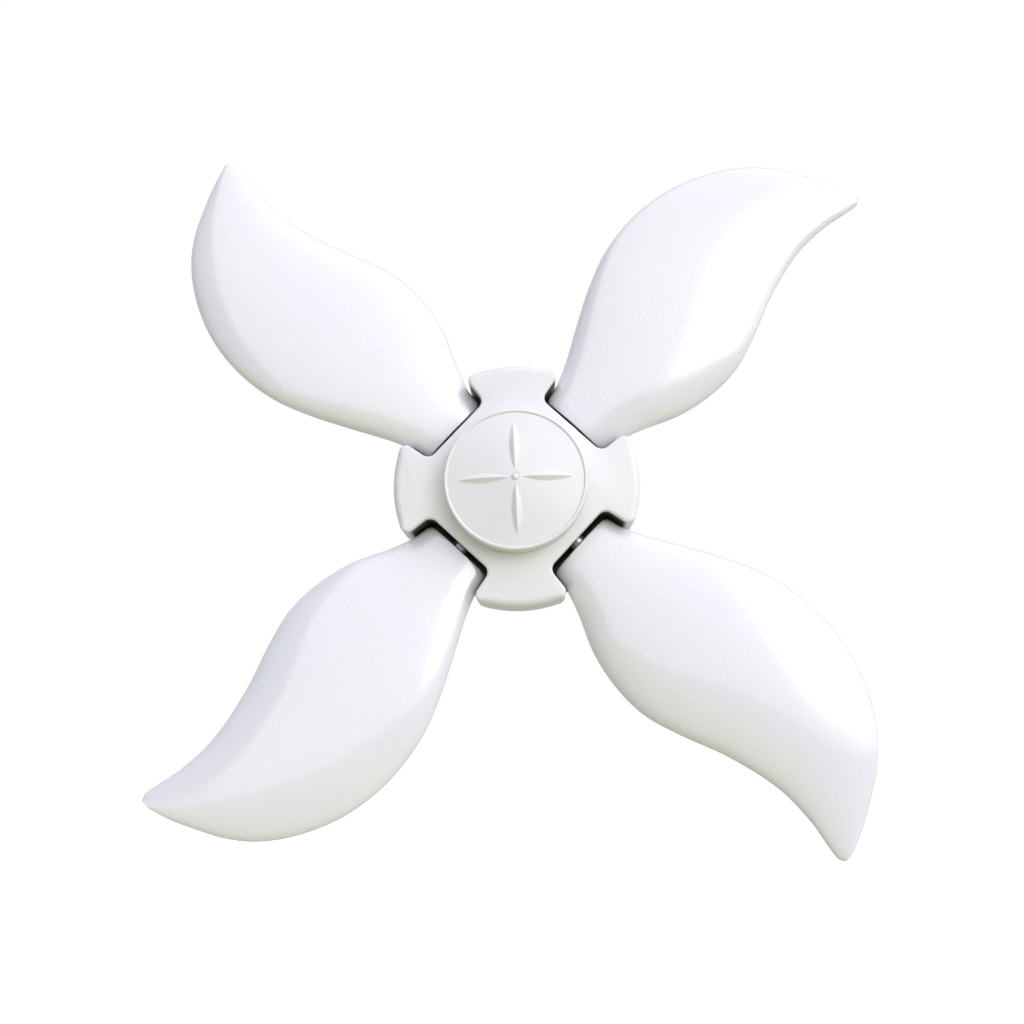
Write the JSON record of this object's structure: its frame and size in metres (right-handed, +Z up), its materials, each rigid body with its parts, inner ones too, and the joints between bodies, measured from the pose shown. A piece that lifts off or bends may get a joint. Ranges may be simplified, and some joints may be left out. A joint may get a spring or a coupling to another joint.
{
  "type": "propeller",
  "caption": "White enamelled wooden propeller with curved, twisted-leaf blades on adjustable studs in a two-plate hub with a domed cap, free-turning on a flanged stub spindle.",
  "frame": {"origin": "centre of the rear face of the spindle's mounting flange, on the rotor's axis", "axes": "-Y along the rotor's axis towards the hub cap, +Z up, +X to the right seen from the front, with the blades on the diagonals"},
  "size_m": [0.6356, 0.09, 0.6356],
  "materials": {
    "blade_enamel": "gloss",
    "hub_paint": "satin",
    "aluminium": "satin",
    "steel": "satin",
    "bearing_steel": "polished",
    "brass": "satin",
    "rubber": "matte"
  },
  "bodies": {
    "spindle_mount": {"spindle": "steel", "bearing_spacer": "steel", "spindle_washer": "steel", "spindle_nut": "steel", "dust_seal": "rubber", "front_bearing_inner_ring": "bearing_steel", "rear_bearing_inner_ring": "bearing_steel"},
    "rotor": {"hub_front_plate": "hub_paint", "hub_rear_plate": "hub_paint", "hub_core": "aluminium", "hub_cap": "hub_paint", "cap_screw": "steel", "cap_bridge": "steel", "core_bolt_1": "steel", "core_bolt_2": "steel", "core_bolt_3": "steel", "core_bolt_4": "steel", "core_nut_1": "steel", "core_nut_2": "steel", "core_nut_3": "steel", "core_nut_4": "steel", "hub_screw_1": "steel", "hub_screw_2": "steel", "hub_screw_3": "steel", "hub_screw_4": "steel", "threaded_insert_1": "brass", "threaded_insert_2": "brass", "threaded_insert_3": "brass", "threaded_insert_4": "brass", "pitch_lock_screw_1": "steel", "pitch_lock_screw_2": "steel", "pitch_lock_screw_3": "steel", "pitch_lock_screw_4": "steel", "front_bearing_outer_ring": "bearing_steel", "front_bearing_balls_and_cage": "brass", "rear_bearing_outer_ring": "bearing_steel", "rear_bearing_balls_and_cage": "brass"},
    "blade_unit_1": {"blade_1": "blade_enamel", "blade_stud_1": "steel", "blade_pin_1": "steel"},
    "blade_unit_2": {"blade_2": "blade_enamel", "blade_stud_2": "steel", "blade_pin_2": "steel"},
    "blade_unit_3": {"blade_3": "blade_enamel", "blade_stud_3": "steel", "blade_pin_3": "steel"},
    "blade_unit_4": {"blade_4": "blade_enamel", "blade_stud_4": "steel", "blade_pin_4": "steel"}
  },
  "joints": [
    {"name": "spin", "type": "hinge", "parent": "spindle_mount", "child": "rotor", "pos_m": [0, 0, 0], "axis": [0, -1, 0], "continuous": true},
    {"name": "blade_1_pitch", "type": "hinge", "parent": "rotor", "child": "blade_unit_1", "pos_m": [0, -0.04, 0], "axis": [0.7071, 0, 0.7071], "range_deg": [-10, 15]},
    {"name": "blade_2_pitch", "type": "hinge", "parent": "rotor", "child": "blade_unit_2", "pos_m": [0, -0.04, 0], "axis": [-0.7071, 0, 0.7071], "range_deg": [-10, 15]},
    {"name": "blade_3_pitch", "type": "hinge", "parent": "rotor", "child": "blade_unit_3", "pos_m": [0, -0.04, 0], "axis": [-0.7071, 0, -0.7071], "range_deg": [-10, 15]},
    {"name": "blade_4_pitch", "type": "hinge", "parent": "rotor", "child": "blade_unit_4", "pos_m": [0, -0.04, 0], "axis": [0.7071, 0, -0.7071], "range_deg": [-10, 15]}
  ]
}
